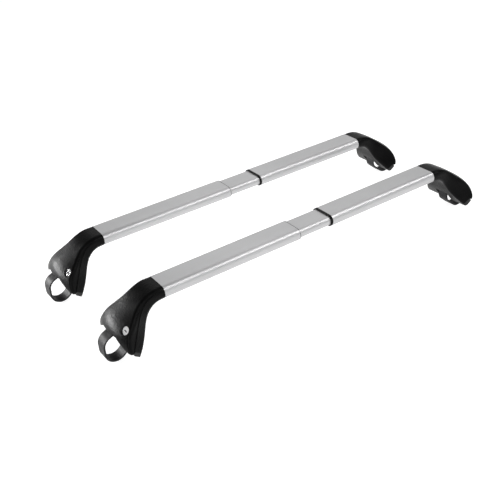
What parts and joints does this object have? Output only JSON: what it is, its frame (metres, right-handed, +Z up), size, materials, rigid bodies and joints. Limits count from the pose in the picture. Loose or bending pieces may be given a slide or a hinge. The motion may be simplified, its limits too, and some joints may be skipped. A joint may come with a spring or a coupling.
{
  "type": "pair of roof cross bars",
  "caption": "Pair of telescopic aluminium roof cross bars with flared black feet, lockable covers and rubber strap loops that clamp to raised roof rails.",
  "frame": {"origin": "on the ground under the middle of the pair, where the four strap loops stand", "axes": "+X along the bars towards the sliding halves, +Y from the front bar to the rear bar, +Z up"},
  "size_m": [1.089, 0.4288, 0.1425],
  "materials": {
    "anodised_aluminium": "satin anodised",
    "black_plastic": "fine grained moulding",
    "black_rubber": "matt",
    "strap_rubber": "matt, fine grain",
    "zinc_steel": "zinc plated",
    "lock_nickel": "bright nickel plate"
  },
  "bodies": {
    "fixed_halves": {"front_left_outer_tube": "anodised_aluminium", "front_inner_tube": "anodised_aluminium", "front_tube_seal": "black_rubber", "front_slide_guide": "black_plastic", "front_inner_tube_screws": "zinc_steel", "front_left_foot_body": "black_plastic", "front_left_rail_pads": "black_rubber", "front_left_outer_cover": "black_plastic", "front_left_rail_strap": "strap_rubber", "front_left_strap_pin": "zinc_steel", "front_left_barrel_nut": "zinc_steel", "front_left_tension_bolt": "zinc_steel", "front_left_foot_screws": "zinc_steel", "rear_left_outer_tube": "anodised_aluminium", "rear_inner_tube": "anodised_aluminium", "rear_tube_seal": "black_rubber", "rear_slide_guide": "black_plastic", "rear_inner_tube_screws": "zinc_steel", "rear_left_foot_body": "black_plastic", "rear_left_rail_pads": "black_rubber", "rear_left_outer_cover": "black_plastic", "rear_left_rail_strap": "strap_rubber", "rear_left_strap_pin": "zinc_steel", "rear_left_barrel_nut": "zinc_steel", "rear_left_tension_bolt": "zinc_steel", "rear_left_foot_screws": "zinc_steel"},
    "front_sliding_half": {"front_right_outer_tube": "anodised_aluminium", "front_slide_collar": "black_plastic", "front_width_screw": "zinc_steel", "front_right_foot_body": "black_plastic", "front_right_rail_pads": "black_rubber", "front_right_outer_cover": "black_plastic", "front_right_rail_strap": "strap_rubber", "front_right_strap_pin": "zinc_steel", "front_right_barrel_nut": "zinc_steel", "front_right_tension_bolt": "zinc_steel", "front_right_foot_screws": "zinc_steel"},
    "front_left_lock": {"front_left_lock_cylinder": "lock_nickel", "front_left_lock_cam": "zinc_steel"},
    "front_right_lock": {"front_right_lock_cylinder": "lock_nickel", "front_right_lock_cam": "zinc_steel"},
    "rear_sliding_half": {"rear_right_outer_tube": "anodised_aluminium", "rear_slide_collar": "black_plastic", "rear_width_screw": "zinc_steel", "rear_right_foot_body": "black_plastic", "rear_right_rail_pads": "black_rubber", "rear_right_outer_cover": "black_plastic", "rear_right_rail_strap": "strap_rubber", "rear_right_strap_pin": "zinc_steel", "rear_right_barrel_nut": "zinc_steel", "rear_right_tension_bolt": "zinc_steel", "rear_right_foot_screws": "zinc_steel"},
    "rear_left_lock": {"rear_left_lock_cylinder": "lock_nickel", "rear_left_lock_cam": "zinc_steel"},
    "rear_right_lock": {"rear_right_lock_cylinder": "lock_nickel", "rear_right_lock_cam": "zinc_steel"}
  },
  "joints": [
    {"name": "front_width_slide", "type": "slide", "parent": "fixed_halves", "child": "front_sliding_half", "axis": [1, 0, 0], "range_m": [-0.085, 0.09]},
    {"name": "front_left_lock_turn", "type": "hinge", "parent": "fixed_halves", "child": "front_left_lock", "pos_m": [-0.50045, -0.18525, 0.08697], "axis": [-0.7323, -0.2419, 0.6366], "range_deg": [0, 90]},
    {"name": "front_right_lock_turn", "type": "hinge", "parent": "front_sliding_half", "child": "front_right_lock", "pos_m": [0.50045, -0.10125, 0.08697], "axis": [0.7323, 0.2419, 0.6366], "range_deg": [0, 90]},
    {"name": "rear_width_slide", "type": "slide", "parent": "fixed_halves", "child": "rear_sliding_half", "axis": [1, 0, 0], "range_m": [-0.085, 0.09]},
    {"name": "rear_left_lock_turn", "type": "hinge", "parent": "fixed_halves", "child": "rear_left_lock", "pos_m": [-0.50045, 0.10125, 0.08697], "axis": [-0.7323, -0.2419, 0.6366], "range_deg": [0, 90]},
    {"name": "rear_right_lock_turn", "type": "hinge", "parent": "rear_sliding_half", "child": "rear_right_lock", "pos_m": [0.50045, 0.18525, 0.08697], "axis": [0.7323, 0.2419, 0.6366], "range_deg": [0, 90]}
  ]
}
